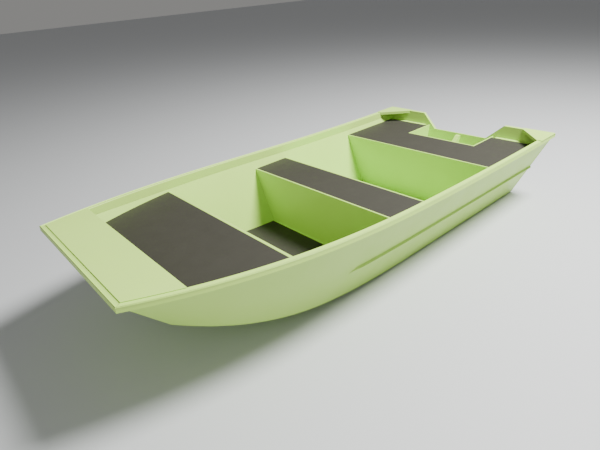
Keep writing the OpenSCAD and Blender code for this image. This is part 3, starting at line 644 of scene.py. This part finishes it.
def gunwale_section(web, lip):
    """Inward and downward distances from the top outer corner, with its bends rounded.

    The first arc, at the top outer corner, is a known fault. It starts from -pi / 2 and leaves
    a groove along the top, where one that starts from pi would round the corner.
    """
    w, r = GUNWALE_WALL, GUNWALE_ROUND
    far = GUNWALE_W - r
    return (quarter(r, r, r, -math.pi / 2)[::-1]
            + [(0, GUNWALE_H), (web(GUNWALE_H), GUNWALE_H),
               (web(GUNWALE_H - w), GUNWALE_H - w), (w, GUNWALE_H - w)]
            + quarter(r, r, r - w, math.pi)
            + quarter(far, r, r - w, -math.pi / 2)
            + [(GUNWALE_W - w, lip(GUNWALE_W - w)), (GUNWALE_W, lip(GUNWALE_W))]
            + quarter(far, r, r, 0)[:1] + quarter(far, r, r, -math.pi / 2)[-2::-1])


def side_web(x, depth):
    return gunwale_y(x) - side_out(x, gunwale_z(x) - depth) - FIT


def short_lip(_):
    return 4 * GUNWALE_WALL


def long_lip(x, inward):
    """Depth at which a lip this far inward meets the side sheet."""
    high = gunwale_z(x)
    top = side_in(x, high)
    lean = (top - side_in(x, high - 2 * GUNWALE_H)) / (2 * GUNWALE_H)
    return (inward - gunwale_y(x) + top - FIT) / lean - 2 * FIT


MITRE_Y = (gunwale_y(BOW_TOP_X - GUNWALE_W) - gunwale_y(BOW_TOP_X)) / GUNWALE_W
MITRE_Z = (gunwale_z(BOW_TOP_X - GUNWALE_W) - gunwale_z(BOW_TOP_X)) / GUNWALE_W


def mitred(inward, down, gap=0.0):
    """Point of a mitred end, which lies on a flat plane."""
    return (BOW_TOP_X - inward, gunwale_y(BOW_TOP_X) + (MITRE_Y - 1) * inward - gap,
            gunwale_z(BOW_TOP_X) + MITRE_Z * inward - down)


def gunwale_rings():
    aft = -TRANSOM_RAKE + SHEET / math.cos(RAKE_ANGLE)
    lip_from = transom_x(STERN_Z - 2 * GUNWALE_W, TRANSOM_T) + LIP_CLEAR
    lip_to = BOW_TOP_X - 2 * GUNWALE_W
    rings = [[(aft + TRANSOM_SLOPE * down, gunwale_y(aft) - inward, gunwale_z(aft) - down)
              for inward, down in gunwale_section(lambda d: side_web(aft, d), short_lip)]]
    fore = BOW_TOP_X - GUNWALE_W - MITRE_LEAD
    for x in [lip_from - LIP_END] + stations(lip_from, lip_to) + [fore]:
        lip = (lambda inward: long_lip(x, inward)) if lip_from <= x <= lip_to else short_lip
        rings.append([(x, gunwale_y(x) - inward, gunwale_z(x) - down)
                      for inward, down in gunwale_section(lambda d: side_web(x, d), lip)])

    def mitre(depth):
        return side_web(BOW_TOP_X - side_web(BOW_TOP_X - GUNWALE_W, depth), depth)

    return rings + [[mitred(inward, down) for inward, down in gunwale_section(mitre, short_lip)]]


def gunwales():
    both_sides("gunwale_rail", gunwale_rings(), PAINT, "gunwale", GUNWALE_EDGE)
    ring = [mitred(inward, down, FIT / 2) for inward, down in
            gunwale_section(lambda d: GUNWALE_OUT + BOW_SLOPE * d - FIT, short_lip)]
    other = [(x, -y, z) for x, y, z in ring]
    lofted("bow_rail", [[ring, other]], PAINT, ["bow_gunwale"], GUNWALE_EDGE)


# ---- bow deck ----

DECK_AFT = 3.250
DECK_T = 0.004
DECK_LAP = 0.008
DECK_FORE = BOW_TOP_X - GUNWALE_W + DECK_LAP
DECK_FLANGE = 0.034
DECK_EDGE = 0.0011
FLANGE_CLEAR = 0.002
HAIR = 0.0001
DECK_TILT = (gunwale_z(BOW_TOP_X) - gunwale_z(DECK_AFT)) / (BOW_TOP_X - DECK_AFT)


def deck_z(x):
    return gunwale_z(DECK_AFT) + DECK_TILT * (x - DECK_AFT)


def deck():
    def plate_ring(x):
        half = gunwale_y(x) - GUNWALE_W + DECK_LAP
        return [(x, half, deck_z(x)), (x, half, deck_z(x) + DECK_T),
                (x, -half, deck_z(x) + DECK_T), (x, -half, deck_z(x))]

    def flange_ring(x):
        y = gunwale_y(DECK_AFT + SHEET) - GUNWALE_W - FLANGE_CLEAR
        low, high = deck_z(x) - DECK_FLANGE, deck_z(x) - HAIR
        return [(x, y, low), (x, y, high), (x, -y, high), (x, -y, low)]

    plate = [plate_ring(x) for x in stations(DECK_AFT, DECK_FORE)]
    flange = [flange_ring(x) for x in (DECK_AFT + 2 * HAIR, DECK_AFT + SHEET)]
    lofted("deck_sheet", [plate, flange], PAINT, ["bow_deck_plate"], DECK_EDGE)


# ---- spray rails, keel and strakes ----

RAIL_Z = 0.245
RAIL_RISE = 0.024
RAIL_END = 2.255
RAIL_OUT = 0.017
RAIL_H = 0.026
RAIL_NOSE = 0.090
RAIL_NOSE_STEP = 0.006
RAIL_TIP = 0.06
RAIL_DROP = 0.022
RAIL_FLAT = 0.003
RAIL_EDGE = 0.0018


def rail_ring(x):
    nose = min(1, (RAIL_END - x) / RAIL_NOSE + RAIL_TIP)
    z = KEEL_Z + RAIL_Z + RAIL_RISE * x / RAIL_END - RAIL_DROP * (1 - nose) ** 2
    half = RAIL_H * (0.4 + 0.6 * nose)
    high, low = z + 0.6 * half, z - 0.4 * half
    out = RAIL_OUT * nose
    face = [(x, side_out(x, z + up) + out, z + up) for up in (RAIL_FLAT, -RAIL_FLAT)]
    return [(x, side_out(x, high) + FIT, high), *face, (x, side_out(x, low) + FIT, low)]


STRAKE_H = 0.010
STRAKE_W = 0.028
STRAKE_PITCH = 0.205
STRAKE_NOSE = 0.060
STRAKE_TIP = 0.04
STRAKE_EDGE = 0.002
STRAKE_END = 3.180
KEEL_END = 3.230


def strake_rings(length, y):
    rings = []
    for x in stations(STEP, length):
        depth = STRAKE_H * max(STRAKE_TIP, min(1, (length - x) / STRAKE_NOSE))
        top = chine_z(x)
        rings.append([(x, y - STRAKE_W / 2, top), (x, y + STRAKE_W / 2, top),
                      (x, y + STRAKE_W / 2, top - depth), (x, y - STRAKE_W / 2, top - depth)])
    return rings


def rails_and_strakes():
    aft = transom_x(KEEL_Z + RAIL_Z, SHEET)
    nose = stations(RAIL_END - RAIL_NOSE, RAIL_END, RAIL_NOSE_STEP)
    xs = stations(aft, RAIL_END - RAIL_NOSE) + nose[1:]
    rails = [rail_ring(x) for x in xs]
    both_sides("spray_strip", rails, PAINT, "spray_rail", RAIL_EDGE)
    lofted("keel_rib", [strake_rings(KEEL_END, 0)], PAINT, ["keel"], STRAKE_EDGE)
    ribs = [strake_rings(STRAKE_END, n * STRAKE_PITCH) for n in (-2, -1, 1, 2)]
    lofted("bottom_ribs", ribs, PAINT, ["strakes"], STRAKE_EDGE)


# ---- weld beads ----

BEAD = 0.0022
BENCH_BEAD = 0.0026
BEAD_STEP = 0.003
BEAD_VALLEY = 0.86
BEAD_SIDES = 8
NEARLY_UPRIGHT = 0.1
BEAD_END = 0.004
BENCH_BEAD_END = 0.002
# How far each seam's bead lies from its corner.
CHINE_SEAM = (0.0004, 0.0012)  # outward, up
STERN_SEAM = (0.0014, 0.0002)  # forward, outward
BOW_SEAM = (0.0016, 0.0004)  # aft, inward
BENCH_SEAM = 0.0006  # inward
BOW_FOOT_SEAM = 0.0014  # up


def add_bead(mesh, points, radius=BEAD):
    """A rippled bead along a path of points."""
    path = [Vector(p) for p in points]
    rings = []
    run = 0
    for near, far in zip(path, path[1:]):
        length = (far - near).length
        count = max(1, round(length / BEAD_STEP))
        ahead = (far - near).normalized()
        side = ahead.cross(Vector((0, 0, 1)))
        if side.length < NEARLY_UPRIGHT:
            side = ahead.cross(Vector((0, 1, 0)))
        side.normalize()
        over = side.cross(ahead)
        for i in range(count):
            run += 1
            r = radius if run % 2 else radius * BEAD_VALLEY
            centre = near.lerp(far, i / count)
            rings.append([tuple(centre + r * (side * math.cos(t) + over * math.sin(t)))
                          for t in [math.tau * k / BEAD_SIDES for k in range(BEAD_SIDES)]])
    add_loft(mesh, rings)


FORE_BACK = 2.638
MID_BACK = 1.492
MID_FRONT = 1.839
STERN_FRONT = 0.677
FORE_TOP = KEEL_Z + 0.544
MID_TOP = KEEL_Z + 0.461
STERN_TOP = KEEL_Z + 0.456
BOARD_RISE = 0.022


def welds():
    mesh = bmesh.new()
    for way in (1, -1):
        add_bead(mesh, [(x, way * (chine_y(x) + CHINE_SEAM[0]), chine_z(x) + CHINE_SEAM[1])
                        for x in stations(0, BOW_FOOT_X, 0.1)])
        heights = stations(floor_z(0), wall_top(-TRANSOM_RAKE) - BEAD_END, 0.04)
        add_bead(mesh, [(transom_x(z, STERN_SEAM[0]),
                         way * (side_out(transom_x(z), z) + STERN_SEAM[1]), z) for z in heights])
        heights = stations(floor_z(BOW_FOOT_X), wall_top(BOW_TOP_X) - BEAD_END, 0.03)
        add_bead(mesh, [(bow_x(z) - BOW_SEAM[0],
                         way * (side_out(bow_x(z), z) - BOW_SEAM[1]), z) for z in heights])
        for x, top in ((FORE_BACK, FORE_TOP), (MID_BACK, MID_TOP), (MID_FRONT, MID_TOP),
                       (STERN_FRONT, STERN_TOP)):
            heights = stations(floor_z(x) + BOARD_RISE, top - BENCH_BEAD_END, 0.05)
            seam = [(x, way * (side_in(x, z) - BENCH_SEAM), z) for z in heights]
            add_bead(mesh, seam, BENCH_BEAD)
    add_bead(mesh, [(BOW_FOOT_X, y, BOW_FOOT_Z + BOW_FOOT_SEAM)
                    for y in stations(-chine_y(BOW_FOOT_X), chine_y(BOW_FOOT_X), 0.1)])
    made("weld_beads", mesh, PAINT)


# ---- the rest, with the CAD's own shapes ----


def folded_parts():
    sheets = """transom_outer_skin transom_inner_skin transom_cap deck_beam floor_trims
        fore_bench_back fore_bench_ledges mid_bench_front mid_bench_back mid_bench_ledges
        stern_bench_front stern_bench_rims stern_bench_ledges well_front_wall
        well_side_wall_port well_side_wall_starboard well_floor transom_knee stern_knee_port
        stern_knee_starboard gunwale_end_caps chine_angle_port chine_angle_starboard floor_ribs"""
    for name in sheets.split():
        finished(name, PAINT, edge=0.0009, segments=2)
    for name in ("fore_bench_board", "mid_bench_board", "stern_bench_board",
                 "floor_board_forward"):
        finished(name, BOARD, edge=0.0022, segments=3, flat=0.05)
    finished("transom_core", PLY, edge=0.0005, segments=1)
    for name in ("fore_bench_foam", "mid_bench_foam", "stern_bench_foam", "stern_foam_port",
                 "stern_foam_starboard"):
        finished(name, FOAM, edge=0.004, segments=3, flat=0.05)
    for name in ("drain_tube", "drain_rivets", "well_drain_tubes"):
        finished(name, ALLOY, edge=0.0005, segments=2)
    finished("plug_rubber", RUBBER, "drain_plug", 0.0007, 2)
    for name in ("plug_stem", "plug_washer", "plug_pin"):
        finished(name, BRASS, "drain_plug", 0.0004, 2)
    finished("plug_lever", BRASS, "drain_lever", 0.0008, 2)


hull_sheets()
gunwales()
deck()
rails_and_strakes()
welds()
folded_parts()

# ---- studio ----

FLOOR_SIZE = 40
CAMERA_SPOT = (2.2057, 2.2526, 1.8330)
CAMERA_YAW, CAMERA_PITCH, CAMERA_ROLL = 229.996, -28.443, -4.605
CAMERA_LENS = 27.365
CAMERA_SHIFT = (-0.0027, 0.0077)


def studio_floor():
    mesh = bmesh.new()
    bmesh.ops.create_grid(mesh, x_segments=1, y_segments=1, size=FLOOR_SIZE)
    data = bpy.data.meshes.new("studio_floor")
    mesh.to_mesh(data)
    mesh.free()
    floor = bpy.data.objects.new("studio_floor", data)
    bpy.context.scene.collection.objects.link(floor)
    material = bpy.data.materials.new("studio floor")
    material.use_nodes = True
    shader = material.node_tree.nodes["Principled BSDF"]
    shader.inputs["Base Color"].default_value = (0.56, 0.58, 0.61, 1)
    shader.inputs["Roughness"].default_value = 0.6
    data.materials.append(material)


def lamp(name, spot, aim, size, power):
    light = bpy.data.lights.new(name, "AREA")
    light.shape = "DISK"
    light.size = size
    light.energy = power
    light.color = (1.0, 0.985, 0.94)
    holder = bpy.data.objects.new(name, light)
    holder.location = spot
    holder.rotation_mode = "QUATERNION"
    holder.rotation_quaternion = (Vector(aim) - Vector(spot)).to_track_quat("-Z", "Y")
    bpy.context.scene.collection.objects.link(holder)


def studio_light():
    world = bpy.data.worlds.new("studio")
    world.use_nodes = True
    sky = world.node_tree.nodes["Background"]
    sky.inputs["Color"].default_value = (1.0, 0.99, 0.96, 1)
    sky.inputs["Strength"].default_value = 0.24
    bpy.context.scene.world = world
    lamp("key", (-2.6, 2.3, 6.0), (0, 0, 0.3), 2.2, 1300)
    lamp("fill", (4.5, 3.0, 3.0), (0, 0, 0.3), 4.0, 60)


def camera():
    yaw, pitch, roll = (math.radians(a) for a in (CAMERA_YAW, CAMERA_PITCH, CAMERA_ROLL))
    level = math.cos(pitch)
    ahead = Vector((level * math.cos(yaw), level * math.sin(yaw), math.sin(pitch)))
    right = ahead.cross(Vector((0, 0, 1))).normalized()
    up = right.cross(ahead)
    across = right * math.cos(roll) + up * math.sin(roll)
    above = up * math.cos(roll) - right * math.sin(roll)
    view = Matrix((across, above, -ahead)).transposed().to_4x4()
    view.translation = CAMERA_SPOT
    data = bpy.data.cameras.new("camera")
    data.lens = CAMERA_LENS
    data.sensor_width = 36
    data.shift_x, data.shift_y = CAMERA_SHIFT
    data.clip_end = 100
    holder = bpy.data.objects.new("camera", data)
    bpy.context.scene.collection.objects.link(holder)
    holder.matrix_world = view
    bpy.context.scene.camera = holder


studio_floor()
studio_light()
camera()

bpy.context.view_layer.update()
